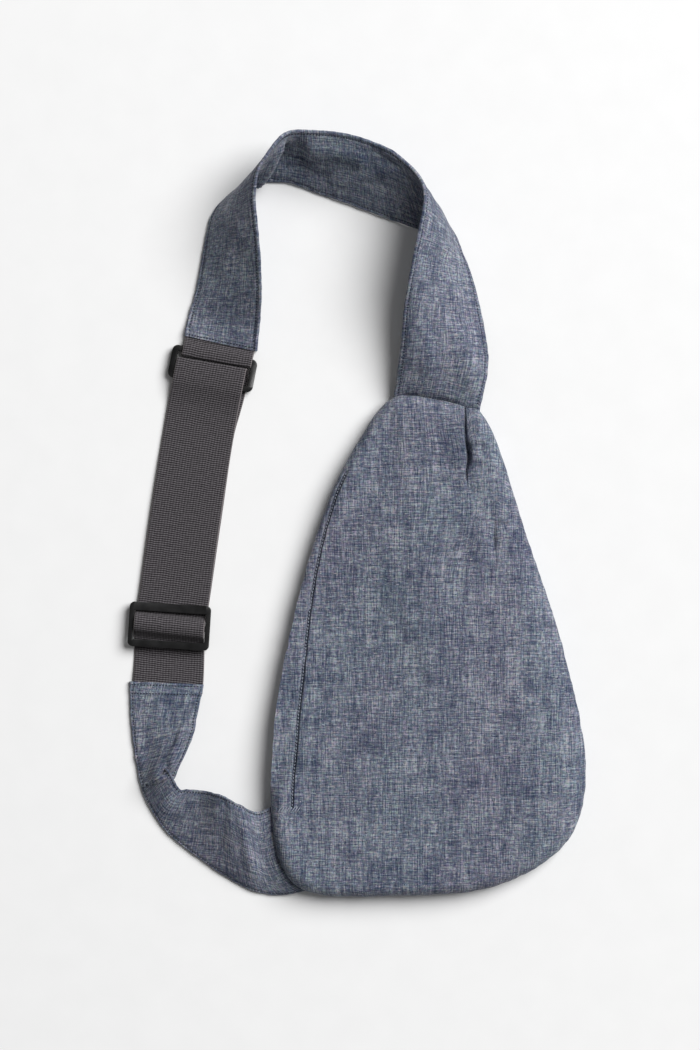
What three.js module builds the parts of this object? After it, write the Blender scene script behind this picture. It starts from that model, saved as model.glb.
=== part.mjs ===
// Crossbody sling bag in linen chambray, lying on a table with its front face up.
// Millimetres, +Z up. The origin lies on the table under the middle of the whole outline,
// and +Y runs from the bag to the top of its strap loop.
import * as THREE from "three";

// Cloth, webbing and seams
const PANEL_WALL = 2; // one panel of the bag
const STRAP_THICK = 2.4; // doubled cloth strap
const WEB_THICK = 1.4;
const WEB_WIDTH = 50;
const PIECE_GAP = 0.3; // between two pieces that are sewn or lie on each other
const SEAM_OFFSET = 0.7; // from the bag's outline to the sewn end of a strap

// Swell of the bag
const FRONT_CROWN = 12.5; // how far the front swells above its edge seam
const EDGE_SHARE = 0.75; // share of the swell that the round edge takes, the rest is a low dome
const MOUTH_POWER = 1.2; // slope of the front behind the mouth, where the edge is not drawn down
const SLACK_GAPE = 8; // the mouth is fully slack where it gapes this far
const SAG_REACH = 35; // how far in the slack of the mouth evens out to the sag of the front
const BACK_ROUND = 14; // width of the round turn from the flat back up to the seam
const MOUTH_LIFT = 0.78; // share of the mouth's gape above the seam, the rest is below it
const RIM_POWER = 3; // how soon the lifted edge of the mouth evens out
const MIDDLE = { x: 53, y: -124 }; // where the front is highest

// Outline of the bag, clockwise from the left end of the upper strap's seam.
// seam: height of the edge; gape: how far the mouth stands open; hem: width of the turned edge;
// bend: how far in the front bends down to the edge; sag: 1 where the front only slopes up from
// the mouth, 0 where it swells at once.
const OUTLINE = [
  { at: "strap seam left", x: 25, y: 81.5, seam: 7, gape: 0, hem: 6, bend: 14, sag: 0.15 },
  { at: "strap seam middle", x: 55, y: 81, seam: 7, gape: 0, hem: 8, bend: 14, sag: 0.05 },
  { at: "tuck", x: 77.5, y: 75, seam: 6.5, gape: 0, hem: 8, bend: 14, sag: 0 },
  { at: "strap seam right", x: 88.5, y: 70.5, seam: 7, gape: 0, hem: 10, bend: 16, sag: 0 },
  { at: "shoulder", x: 101.6, y: 43.5, seam: 9, gape: 0, hem: 10, bend: 22, sag: 0 },
  { at: "right side, upper", x: 119, y: -12, seam: 9, gape: 0, hem: 10, bend: 24, sag: 0 },
  { at: "right side, middle", x: 146, y: -95, seam: 9, gape: 0, hem: 10, bend: 24, sag: 0 },
  { at: "right side, lower", x: 162, y: -178, seam: 8, gape: 0, hem: 10, bend: 22, sag: 0 },
  { at: "right corner", x: 148.5, y: -232, seam: 8.5, gape: 0, hem: 10, bend: 15, sag: 0 },
  { at: "bottom right", x: 98, y: -263.3, seam: 9, gape: 0, hem: 10, bend: 9, sag: 0 },
  { at: "bottom", x: 31, y: -269.8, seam: 9.5, gape: 0, hem: 10, bend: 8, sag: 0.05 },
  { at: "bottom left", x: -31.5, y: -268, seam: 8, gape: 0, hem: 12, bend: 9, sag: 0.2 },
  { at: "left corner", x: -54, y: -246.5, seam: 8.5, gape: 0, hem: 16, bend: 10, sag: 0.35 },
  { at: "mouth, low end", x: -60.5, y: -206.5, seam: 11, gape: 0, hem: 19, bend: 12, sag: 0.6 },
  { at: "mouth, foot", x: -59.8, y: -180, seam: 9, gape: 9.5, hem: 18.5, bend: 12, sag: 0.8 },
  { at: "mouth, lower", x: -56, y: -133, seam: 8, gape: 9.5, hem: 16, bend: 12, sag: 0.95 },
  { at: "mouth, middle", x: -40.5, y: -58, seam: 8, gape: 7, hem: 9.8, bend: 12, sag: 0.95 },
  { at: "mouth, high end", x: -19.5, y: 9.5, seam: 8.5, gape: 4.5, hem: 5, bend: 12, sag: 0.7 },
  { at: "neck", x: 1, y: 50.5, seam: 9, gape: 0, hem: 5, bend: 14, sag: 0.35 },
];
const OUTLINE_STEPS = 4; // points from one row to the next

// Dents in the front: the tuck below the strap seam and the stitched groove of the mouth's hem
const TUCK = { x: 77.5, top: 74, foot: 20, depth: 5, softSide: 9, sharpSide: 3 };
const HEM_GROOVE = { depth: 0.8, spread: 3, fullGape: 6 };
const DENT_EDGE = 4; // this near the edge seam the dents fade out
const LEAN_STEP = 0.5; // half the step over which the front's slope is taken

// Rings of points from the edge inwards: share of the hem's width, then share of the way to the middle
const HEM_RINGS = [0, 0.12, 0.4, 0.75, 1, 1.35];
const SWELL_RINGS = [0.72, 0.5, 0.25];
const ROUND_RINGS = [0, 0.08, 0.3, 0.6, 1];
const FLAT_RINGS = [0.6, 0.3];

// Upper strap, a row per fold station from the bag to the webbing.
// a is the edge that stands up, b the edge that lies on the table; rise: how far the cloth arches up
// between them.
const UPPER_STRAP = [
  { ax: 25, ay: 82, az: 9, bx: 88.5, by: 71, bz: 9, rise: 0 },
  { ax: 30, ay: 108, az: 17, bx: 92.8, by: 107, bz: 7, rise: 7 },
  { ax: 33, ay: 142.5, az: 29, bx: 88.9, by: 138.8, bz: 2.5, rise: 7 },
  { ax: 38, ay: 172.5, az: 42, bx: 81.6, by: 167.5, bz: 1.4, rise: 3 },
  { ax: 44, ay: 201, az: 47, bx: 74.3, by: 186, bz: 1.2, rise: 0 },
  { ax: 47, ay: 219, az: 46, bx: 67.5, by: 194.5, bz: 1.2, rise: 0 },
  { ax: 44, ay: 233.5, az: 40, bx: 62, by: 197.5, bz: 1.2, rise: 0 },
  { ax: 33, ay: 246.4, az: 38, bx: 48, by: 201, bz: 1.4, rise: 0 },
  { ax: 19, ay: 256, az: 37, bx: 28, by: 207, bz: 1.5, rise: 0 },
  { ax: -4.5, ay: 264, az: 38, bx: -1, by: 217.6, bz: 1.4, rise: 0 },
  { ax: -29, ay: 267, az: 38, bx: -27, by: 227, bz: 1.3, rise: 0 },
  { ax: -46.5, ay: 266, az: 41, bx: -48.5, by: 234.4, bz: 1.2, rise: 0 },
  { ax: -54.6, ay: 259.4, az: 46, bx: -66, by: 234, bz: 1.2, rise: 0 },
  { ax: -62.6, ay: 247.9, az: 48, bx: -79.5, by: 231.6, bz: 1.2, rise: 0 },
  { ax: -68.6, ay: 236.6, az: 47, bx: -92.2, by: 223.4, bz: 1.2, rise: 0 },
  { ax: -70.5, ay: 218, az: 44, bx: -103, by: 210, bz: 1.3, rise: 0 },
  { ax: -68, ay: 190.5, az: 39, bx: -108, by: 188, bz: 1.4, rise: 0 },
  { ax: -66.5, ay: 160, az: 27, bx: -113.5, by: 160, bz: 1.5, rise: 0 },
  { ax: -68, ay: 135, az: 11.5, bx: -119.5, by: 138.5, bz: 1.6, rise: 0 },
  { ax: -71, ay: 115.5, az: 2.6, bx: -121.5, by: 125.5, bz: 1.8, rise: 0 },
];
const UPPER_COLUMNS = 12;

// Lower strap, a row per station from the webbing to the bag. a is the inner edge, b the outer edge.
const LOWER_STRAP = [
  { ax: -109, ay: -122.5, az: 1.6, bx: -160, by: -121, bz: 1.5, rise: 0 },
  { ax: -112.5, ay: -143, az: 8.5, bx: -160, by: -143.5, bz: 1.5, rise: 0 },
  { ax: -116, ay: -159.5, az: 12.5, bx: -157.5, by: -167.5, bz: 1.5, rise: 1 },
  { ax: -125, ay: -176.5, az: 9, bx: -154.5, by: -187, bz: 1.5, rise: 8 },
  { ax: -128, ay: -188, az: 15, bx: -147.5, by: -207, bz: 1.5, rise: 3 },
  { ax: -119, ay: -195, az: 12.5, bx: -132.5, by: -228, bz: 1.5, rise: 1.5 },
  { ax: -107, ay: -195.5, az: 17, bx: -113.5, by: -243, bz: 1.5, rise: 1.5 },
  { ax: -94, ay: -198, az: 23, bx: -94, by: -256.4, bz: 1.5, rise: 1 },
  { ax: -82.5, ay: -205, az: 19, bx: -72.5, by: -267.8, bz: 1.5, rise: 1 },
  { ax: -72, ay: -210.5, az: 12, bx: -52.5, by: -272, bz: 3, rise: 1 },
  { ax: -61, ay: -206.5, az: 11, bx: -31.5, by: -269.5, bz: 7.5, rise: 0 },
];
const LOWER_COLUMNS = 8;
const STRAP_STEPS = 3; // points from one station to the next
const SEAM_FADE = 4; // steps over which a strap's curved end evens out

// The webbing's line on the table, from the upper strap's end to the lower strap's end
const WEB_LINE = {
  start: new THREE.Vector2(-98.5, 119.5),
  bend: new THREE.Vector2(-123, -0.5),
  end: new THREE.Vector2(-134.5, -121),
};
const WEB_STEP = 22; // longest step along a straight stretch

// Ring and slider on the webbing's line: side is the shift to its right, bars are measured along it
const RING = {
  at: 17.25, side: 0, length: 23.5, width: 61, innerWidth: 54, bar: 4,
  bottom: 1.8, thick: 4, corner: 5,
};
const SLIDER = {
  at: 202, side: -2.2, length: 31.5, width: 57.6, innerWidth: 52,
  topBar: 6, middleBar: 4, endBar: 5, bottom: 3.6, thick: 4, corner: 6,
};
const HOLE_CORNER = 0.8;
const HARDWARE_EDGE = 0.7; // rounded edge of both plastic pieces
const CORNER_STEPS = 4;

// Short loop of webbing round the ring's upper bar. s: along the line; z: height; side: shift sideways
const ANCHOR_RUN = [
  { s: 0.4, z: 0.85, side: 1.6 },
  { s: 6.5, z: 0.85, side: 1.6 },
  { s: 10.2, z: 1.3, side: 1.6 },
  { s: 10.8, z: 3.8, side: 1.6 },
  { s: 10.2, z: 6.4, side: 1.6 },
  { s: 7, z: 6.9, side: 1.6 },
  { s: 4.4, z: 6.4, side: 1.6 },
  { s: 0.4, z: 3.2, side: 1.6 },
];

// Long webbing: under, over and under the slider's bars, round the ring, back along the table,
// and sewn in a loop round the slider's middle bar
const LONG_RUN = [
  { s: 242, z: 1.3, side: 0.8 },
  { s: 226, z: 0.85, side: 0 },
  { s: 216, z: 0.9, side: -0.9 },
  { s: 211.8, z: 1.8, side: -1.5 },
  { s: 208.8, z: 5.2, side: -1.8 },
  { s: 206.4, z: 9, side: -2 },
  { s: 202, z: 10.5, side: -2.2 },
  { s: 197.5, z: 9, side: -2.4 },
  { s: 194.8, z: 5, side: -2.5 },
  { s: 192, z: 2.5, side: -2.2 },
  { s: 186, z: 2.5, side: -1.6 },
  { s: 120, z: 2.5, side: -1.2 },
  { s: 47, z: 2.5, side: -1.5 },
  { s: 37, z: 4.8, side: -1.4 },
  { s: 30, z: 6.9, side: -1.3 },
  { s: 18, z: 6.9, side: -1.2 },
  { s: 13.7, z: 5.8, side: -1.1 },
  { s: 12.6, z: 3.8, side: -0.6 },
  { s: 13.7, z: 1.8, side: 0 },
  { s: 18, z: 0.9, side: 0.6 },
  { s: 25, z: 0.8, side: 1 },
  { s: 47, z: 0.8, side: -0.2 },
  { s: 120, z: 0.8, side: -0.7 },
  { s: 186, z: 0.8, side: -1.4 },
  { s: 192.5, z: 0.85, side: -2 },
  { s: 196.4, z: 2, side: -2.3 },
  { s: 198.4, z: 5.5, side: -2.3 },
  { s: 199.4, z: 7.9, side: -2.3 },
  { s: 202, z: 8.7, side: -2.2 },
  { s: 204.8, z: 7.9, side: -2.1 },
  { s: 205.4, z: 5.5, side: -2.1 },
  { s: 204.6, z: 2.7, side: -2.1 },
  { s: 201.5, z: 2.5, side: -2.2 },
];
const RUN_STEPS = 3; // points round a bend, from one row to the next

// Finishes
const LINEN = { color: 0x69707b, roughness: 0.92, metalness: 0 };
const WEAVE = { color: 0x4d4b4e, roughness: 0.85, metalness: 0 };
const PLASTIC = { color: 0x17171a, roughness: 0.42, metalness: 0 };

// One value of a smooth curve through four neighbouring numbers, t from the second to the third.
function catmull(p0, p1, p2, p3, t) {
  const slopeIn = (p2 - p0) / 2;
  const slopeOut = (p3 - p1) / 2;
  const square = 3 * (p2 - p1) - 2 * slopeIn - slopeOut;
  const cube = 2 * (p1 - p2) + slopeIn + slopeOut;
  return p1 + t * (slopeIn + t * (square + t * cube));
}

// Smooth rows between the rows of a table: every number column is carried along.
function smoothRows(table, steps, closed) {
  const last = table.length - 1;
  const row = (i) => (closed ? table[(i + table.length) % table.length]
    : table[Math.min(last, Math.max(0, i))]);
  const columns = Object.keys(table[0]).filter((name) => typeof table[0][name] === "number");
  const rows = [];
  for (let i = 0; i < (closed ? table.length : last); i += 1) {
    for (let k = 0; k < steps; k += 1) {
      const values = columns.map((name) => [
        name,
        catmull(row(i - 1)[name], row(i)[name], row(i + 1)[name], row(i + 2)[name], k / steps),
      ]);
      rows.push(Object.fromEntries(values));
    }
  }
  if (!closed) {
    rows.push(table[last]);
  }
  return rows;
}

// Closed solid from points and triangles, turned so that its faces point out.
function solid(name, points, triangles, finish) {
  let volume = 0;
  for (const [a, b, c] of triangles) {
    volume += points[a].dot(points[b].clone().cross(points[c]));
  }
  const turned = volume < 0 ? triangles.map(([a, b, c]) => [a, c, b]) : triangles;
  const geometry = new THREE.BufferGeometry().setFromPoints(points);
  geometry.setIndex(turned.flat());
  geometry.computeVertexNormals();
  return piece(name, geometry, finish);
}

function piece(name, geometry, finish) {
  const mesh = new THREE.Mesh(geometry, new THREE.MeshStandardMaterial(finish));
  mesh.name = name;
  return mesh;
}

function quad(triangles, a, b, c, d) {
  triangles.push([a, b, c], [a, c, d]);
}

// Shell of a panel: rings of outer and inner points run from the edge to one middle point each.
function panelSolid(name, outer, inner, outerMiddle, innerMiddle) {
  const count = outer[0].length;
  const points = [...outer.flat(), ...inner.flat(), outerMiddle, innerMiddle];
  const innerStart = outer.length * count;
  const middle = 2 * innerStart;
  const triangles = [];
  for (let i = 0; i < count; i += 1) {
    const n = (i + 1) % count;
    for (let k = 0; k + 1 < outer.length; k += 1) {
      const here = k * count;
      const next = here + count;
      quad(triangles, here + i, here + n, next + n, next + i);
      quad(triangles, innerStart + here + n, innerStart + here + i,
        innerStart + next + i, innerStart + next + n);
    }
    const top = (outer.length - 1) * count;
    triangles.push([top + i, top + n, middle]);
    triangles.push([innerStart + top + n, innerStart + top + i, middle + 1]);
    quad(triangles, innerStart + i, innerStart + n, n, i);
  }
  return solid(name, points, triangles, LINEN);
}

// Band of even thickness over a grid of points on its middle surface, a row per station.
// Its two ends are cut upright.
function bandSolid(name, grid, thick, finish) {
  const rows = grid.length;
  const columns = grid[0].length;
  const upper = [];
  const lower = [];
  for (let i = 0; i < rows; i += 1) {
    for (let j = 0; j < columns; j += 1) {
      const along = grid[Math.min(i + 1, rows - 1)][j].clone().sub(grid[Math.max(i - 1, 0)][j]);
      const across = grid[i][Math.min(j + 1, columns - 1)].clone().sub(grid[i][Math.max(j - 1, 0)]);
      const half = along.cross(across);
      if (i === 0 || i === rows - 1) {
        half.set(0, 0, half.z);
      }
      half.setLength(thick / 2);
      upper.push(grid[i][j].clone().add(half));
      lower.push(grid[i][j].clone().sub(half));
    }
  }
  const low = rows * columns;
  const triangles = [];
  for (let i = 0; i + 1 < rows; i += 1) {
    const here = i * columns;
    const next = here + columns;
    for (let j = 0; j + 1 < columns; j += 1) {
      quad(triangles, here + j, next + j, next + j + 1, here + j + 1);
      quad(triangles, low + here + j + 1, low + next + j + 1, low + next + j, low + here + j);
    }
    const end = columns - 1;
    quad(triangles, low + here, low + next, next, here);
    quad(triangles, here + end, next + end, low + next + end, low + here + end);
  }
  const lastRow = (rows - 1) * columns;
  for (let j = 0; j + 1 < columns; j += 1) {
    quad(triangles, j, j + 1, low + j + 1, low + j);
    quad(triangles, low + lastRow + j, low + lastRow + j + 1, lastRow + j + 1, lastRow + j);
  }
  return solid(name, [...upper, ...lower], triangles, finish);
}

const edge = smoothRows(OUTLINE, OUTLINE_STEPS, true);
const rowOf = (name) => OUTLINE.findIndex((row) => row.at === name);

// Point of a ray from the bag's middle to its edge, a given distance in from the edge.
function inFromEdge(row, distance, z) {
  const away = new THREE.Vector2(row.x - MIDDLE.x, row.y - MIDDLE.y);
  const length = away.length();
  away.setLength(Math.max(0, length - distance));
  return new THREE.Vector3(MIDDLE.x + away.x, MIDDLE.y + away.y, z);
}

function rayLength(row) {
  return Math.hypot(row.x - MIDDLE.x, row.y - MIDDLE.y);
}

function mouthGape(row) {
  return Math.max(0, row.gape);
}

function frontRim(row) {
  return row.seam + PIECE_GAP / 2 + mouthGape(row) * MOUTH_LIFT;
}

const meanRim = edge.reduce((sum, row) => sum + frontRim(row), 0) / edge.length;

// 1 where the mouth is slack, and 0 where the edge is sewn shut.
function slack(row) {
  return THREE.MathUtils.smoothstep(mouthGape(row), 0, SLACK_GAPE);
}

// Height of the front a given distance in from the edge, before the tuck and the stitched groove.
function frontHeight(row, distance) {
  const out = 1 - distance / rayLength(row);
  const nearEdge = 1 - Math.min(1, distance / row.bend);
  const sewn = EDGE_SHARE * Math.sqrt(1 - nearEdge ** 2) + (1 - EDGE_SHARE) * (1 - out ** 2);
  const inner = THREE.MathUtils.smoothstep(distance, 0, SAG_REACH);
  const loose = THREE.MathUtils.lerp(slack(row), row.sag, inner);
  const swell = THREE.MathUtils.lerp(sewn, (1 - out) ** MOUTH_POWER, loose);
  return meanRim + (frontRim(row) - meanRim) * out ** RIM_POWER + FRONT_CROWN * swell;
}

// How steeply the front climbs there, as an angle; a sewn edge starts upright.
function frontLean(row, distance) {
  if (distance === 0) {
    return (Math.PI / 2) * (1 - slack(row));
  }
  const step = Math.min(LEAN_STEP, distance);
  const climb = frontHeight(row, distance + step) - frontHeight(row, distance - step);
  return Math.atan2(climb, 2 * step);
}

// How deep the front is pressed in at a point beside the tuck.
function tuckDent(point, distance) {
  const run = THREE.MathUtils.clamp((point.y - TUCK.foot) / (TUCK.top - TUCK.foot), 0, 1);
  const across = point.x - TUCK.x;
  const side = across > 0 ? TUCK.softSide : TUCK.sharpSide;
  return TUCK.depth * run * Math.exp(-((across / side) ** 2)) * Math.min(1, distance / DENT_EDGE);
}

// How deep the stitching presses in the outside of the mouth's hem.
function hemGroove(row, distance) {
  const open = Math.min(1, mouthGape(row) / HEM_GROOVE.fullGape);
  const fromStitches = (distance - row.hem) / HEM_GROOVE.spread;
  return HEM_GROOVE.depth * open * Math.exp(-(fromStitches ** 2)) * Math.min(1, distance / DENT_EDGE);
}

function frontPanel() {
  const outside = (distanceOf) => edge.map((row) => {
    const distance = distanceOf(row);
    const dent = tuckDent(inFromEdge(row, distance, 0), distance) + hemGroove(row, distance);
    return inFromEdge(row, distance, frontHeight(row, distance) - dent);
  });
  const inside = (distanceOf) => edge.map((row) => {
    const distance = distanceOf(row);
    const lean = frontLean(row, distance);
    const height = frontHeight(row, distance) - tuckDent(inFromEdge(row, distance, 0), distance);
    return inFromEdge(row, distance + PANEL_WALL * Math.sin(lean), height - PANEL_WALL * Math.cos(lean));
  });
  const distances = [
    ...HEM_RINGS.map((share) => (row) => share * row.hem),
    ...SWELL_RINGS.map((share) => (row) => (1 - share) * rayLength(row)),
  ];
  const crown = meanRim + FRONT_CROWN;
  return panelSolid(
    "front_panel",
    distances.map(outside),
    distances.map(inside),
    new THREE.Vector3(MIDDLE.x, MIDDLE.y, crown),
    new THREE.Vector3(MIDDLE.x, MIDDLE.y, crown - PANEL_WALL),
  );
}

function backPanel() {
  const ring = (distanceOf, inset) => edge.map((row) => {
    const distance = distanceOf(row);
    const rim = row.seam - PIECE_GAP / 2 - mouthGape(row) * (1 - MOUTH_LIFT);
    const turn = Math.max(0, 1 - distance / BACK_ROUND);
    const height = inset + (rim - inset) * (1 - Math.sqrt(1 - turn * turn));
    return inFromEdge(row, distance + inset * (1 - distance / rayLength(row)), height);
  });
  const distances = [
    ...ROUND_RINGS.map((share) => () => share * BACK_ROUND),
    ...FLAT_RINGS.map((share) => (row) => (1 - share) * rayLength(row)),
  ];
  return panelSolid(
    "back_panel",
    distances.map((distanceOf) => ring(distanceOf, 0)),
    distances.map((distanceOf) => ring(distanceOf, PANEL_WALL)),
    new THREE.Vector3(MIDDLE.x, MIDDLE.y, 0),
    new THREE.Vector3(MIDDLE.x, MIDDLE.y, PANEL_WALL),
  );
}

// Point of the bag's edge seam between two named rows, a little outside the outline.
function seamPoint(from, to, share) {
  const start = rowOf(from) * OUTLINE_STEPS;
  const place = start + share * (rowOf(to) * OUTLINE_STEPS - start);
  const i = Math.min(edge.length - 2, Math.floor(place));
  const here = edge[i];
  const next = edge[i + 1];
  const out = new THREE.Vector3(here.y - next.y, next.x - here.x, 0).setLength(SEAM_OFFSET);
  return new THREE.Vector3(here.x, here.y, here.seam)
    .lerp(new THREE.Vector3(next.x, next.y, next.seam), place - i)
    .add(out);
}

// Middle surface of a cloth strap from its stations, with one end bent to the bag's seam.
function strapGrid(table, columns, seamEnd) {
  const rows = smoothRows(table, STRAP_STEPS, false);
  const grid = rows.map((row) => {
    const a = new THREE.Vector3(row.ax, row.ay, row.az);
    const b = new THREE.Vector3(row.bx, row.by, row.bz);
    return Array.from({ length: columns + 1 }, (_, j) => {
      const point = a.clone().lerp(b, j / columns);
      point.z += row.rise * Math.sin((Math.PI * j) / columns);
      return point;
    });
  });
  const seamRow = seamEnd.first ? 0 : grid.length - 1;
  const bends = grid[seamRow].map((point, j) => seamEnd.at(j / columns).sub(point));
  grid.forEach((row, i) => {
    const fade = Math.max(0, 1 - Math.abs(i - seamRow) / SEAM_FADE);
    row.forEach((point, j) => point.addScaledVector(bends[j], fade));
  });
  return grid;
}

function upperStrap() {
  const seamEnd = { first: true, at: (v) => seamPoint("strap seam left", "strap seam right", v) };
  return bandSolid("strap_upper", strapGrid(UPPER_STRAP, UPPER_COLUMNS, seamEnd), STRAP_THICK, LINEN);
}

function lowerStrap() {
  const seamEnd = { first: false, at: (v) => seamPoint("mouth, low end", "bottom left", v) };
  return bandSolid("strap_lower", strapGrid(LOWER_STRAP, LOWER_COLUMNS, seamEnd), STRAP_THICK, LINEN);
}

const webLine = new THREE.QuadraticBezierCurve(WEB_LINE.start, WEB_LINE.bend, WEB_LINE.end);

// Place on the table beside the webbing's line: s along it, side to its right.
function besideLine(s, side) {
  const u = THREE.MathUtils.clamp(s / webLine.getLength(), 0, 1);
  const ahead = webLine.getTangentAt(u);
  return webLine.getPointAt(u).add(new THREE.Vector2(-ahead.y, ahead.x).multiplyScalar(side));
}

function webbingSolid(name, run) {
  const bends = run.map((row) => new THREE.Vector3(row.s, row.side, row.z));
  const curve = new THREE.CatmullRomCurve3(bends, false, "centripetal");
  const stations = [];
  for (let i = 0; i + 1 < bends.length; i += 1) {
    const steps = Math.max(RUN_STEPS, Math.ceil(bends[i].distanceTo(bends[i + 1]) / WEB_STEP));
    for (let k = 0; k < steps; k += 1) {
      stations.push(curve.getPoint((i + k / steps) / (bends.length - 1)));
    }
  }
  stations.push(bends[bends.length - 1]);
  const grid = stations.map((station) => [-1, 1].map((hand) => {
    const place = besideLine(station.x, station.y + (hand * WEB_WIDTH) / 2);
    return new THREE.Vector3(place.x, place.y, station.z);
  }));
  return bandSolid(name, grid, WEB_THICK, WEAVE);
}

// Rounded rectangle from y = low to y = high, centred on x = 0.
function roundedRectangle(path, width, low, high, corner) {
  const half = width / 2;
  path.moveTo(corner - half, low);
  path.lineTo(half - corner, low);
  path.absarc(half - corner, low + corner, corner, -Math.PI / 2, 0);
  path.lineTo(half, high - corner);
  path.absarc(half - corner, high - corner, corner, 0, Math.PI / 2);
  path.lineTo(corner - half, high);
  path.absarc(corner - half, high - corner, corner, Math.PI / 2, Math.PI);
  path.lineTo(-half, low + corner);
  path.absarc(corner - half, low + corner, corner, Math.PI, 1.5 * Math.PI);
  return path;
}

// Flat moulded frame with one window for each pair of heights, laid on the webbing's line.
function hardwareSolid(name, size, windows) {
  const outline = roundedRectangle(
    new THREE.Shape(), size.width, -size.length / 2, size.length / 2, size.corner,
  );
  for (const [low, high] of windows) {
    outline.holes.push(roundedRectangle(new THREE.Path(), size.innerWidth, low, high, HOLE_CORNER));
  }
  const geometry = new THREE.ExtrudeGeometry(outline, {
    depth: size.thick - 2 * HARDWARE_EDGE,
    bevelThickness: HARDWARE_EDGE,
    bevelSize: HARDWARE_EDGE,
    bevelOffset: -HARDWARE_EDGE,
    bevelSegments: 1,
    curveSegments: CORNER_STEPS,
  });
  const mesh = piece(name, geometry, PLASTIC);
  const place = besideLine(size.at, size.side);
  const beside = besideLine(size.at, size.side + 1).sub(place);
  mesh.position.set(place.x, place.y, size.bottom + HARDWARE_EDGE);
  mesh.rotation.z = Math.atan2(beside.y, beside.x);
  return mesh;
}

function ring() {
  const half = RING.length / 2;
  return hardwareSolid("ring", RING, [[RING.bar - half, half - RING.bar]]);
}

function slider() {
  const half = SLIDER.length / 2;
  const bar = SLIDER.middleBar / 2;
  return hardwareSolid("slider", SLIDER, [
    [SLIDER.endBar - half, -bar],
    [bar, half - SLIDER.topBar],
  ]);
}

const bag = new THREE.Group();
bag.add(
  frontPanel(),
  backPanel(),
  upperStrap(),
  webbingSolid("webbing_anchor", ANCHOR_RUN),
  ring(),
  webbingSolid("webbing", LONG_RUN),
  slider(),
  lowerStrap(),
);

export default bag;
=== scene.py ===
"""A crossbody sling bag sewn from linen chambray, lying on its back on a pale table."""

import math

import bmesh
import bpy
import numpy as np
from mathutils import Matrix, Vector, noise
from mathutils.bvhtree import BVHTree


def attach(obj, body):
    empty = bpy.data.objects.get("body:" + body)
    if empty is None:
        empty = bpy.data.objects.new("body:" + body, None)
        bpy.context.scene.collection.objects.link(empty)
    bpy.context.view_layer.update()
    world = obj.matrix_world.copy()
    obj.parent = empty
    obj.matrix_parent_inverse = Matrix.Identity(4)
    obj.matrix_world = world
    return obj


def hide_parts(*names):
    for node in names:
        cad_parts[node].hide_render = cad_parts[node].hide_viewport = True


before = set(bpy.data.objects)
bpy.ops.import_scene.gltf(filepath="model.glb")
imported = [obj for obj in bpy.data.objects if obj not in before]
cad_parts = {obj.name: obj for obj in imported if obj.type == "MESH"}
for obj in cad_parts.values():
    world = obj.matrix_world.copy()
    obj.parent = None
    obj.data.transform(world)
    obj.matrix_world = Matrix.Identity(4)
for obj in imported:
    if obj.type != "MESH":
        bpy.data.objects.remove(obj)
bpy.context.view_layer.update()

# Sizes and tables are in millimetres, and a mesh is in metres. Waves of the cloth are given as a height,
# a length each way and a seed.
MM = 0.001

# The two sides of the bag
PANEL_WALL, PIECE_GAP = 2, 0.3
MIDDLE = (53, -124)  # where the rays that the cloth is laid along meet
FRONT_CROWN, EDGE_SHARE = 12.5, 0.75  # the round edge makes this share of the crown, a low dome the rest
RIM_POWER, MOUTH_POWER, SAG_REACH = 3, 1.2, 35
MOUTH_LIFT = 0.78  # share of the gape that lifts the front; the rest lowers the back
FRONT_WAVES, CALM_EDGE = ((0.8, 46, 58, 1.3), (0.35, 17, 21, 5.1)), 10
BACK_ROUND, BACK_CUT = 14, (310, 470)  # the back is cut from another place of the cloth
# The seam round them, and the lips of the mouth
SEAM_SINK, SEAM_RISE = 0.7, 1.6
SEAM_LIP, FRONT_LIP, BACK_LIP = 0.1, 1.4, 0.9
SEAM_SLOT, SLOT_SPARE, SLOT_FADE = 0.9, 3, 5  # how the sides part where a strap is sewn in
SEAM_TUCKED = 2.2  # how much of a strap is in the seam
SEAM_WAVES, WAVE_REACH = ((0.5, 11, 11, 4.2), (0.4, 4.6, 4.6, 2.4)), 14
SEAM_PUCKER, PUCKER_REACH = (0.6, 5.5, 5.5, 7.9), 9
WAVE_RING = 170  # radius of the circle that the waves are read round, so that they close
# Rows of cloth: over the turned edge, as shares of its width, and how many elsewhere
HEM_ROWS = np.concatenate(([0, 0.003, 0.01, 0.022, 0.04, 0.065], np.linspace(0.1, 0.72, 12),
                           np.linspace(0.75, 1.25, 29), np.linspace(1.3, 1.6, 5)))
FRONT_ROWS, BACK_ROWS, BEND_ROWS, LIP_ROWS, INNER_ROWS = 57, 25, 16, 5, 18
INNER_POWER = 1.5
EDGE_STATIONS = 640

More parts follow.
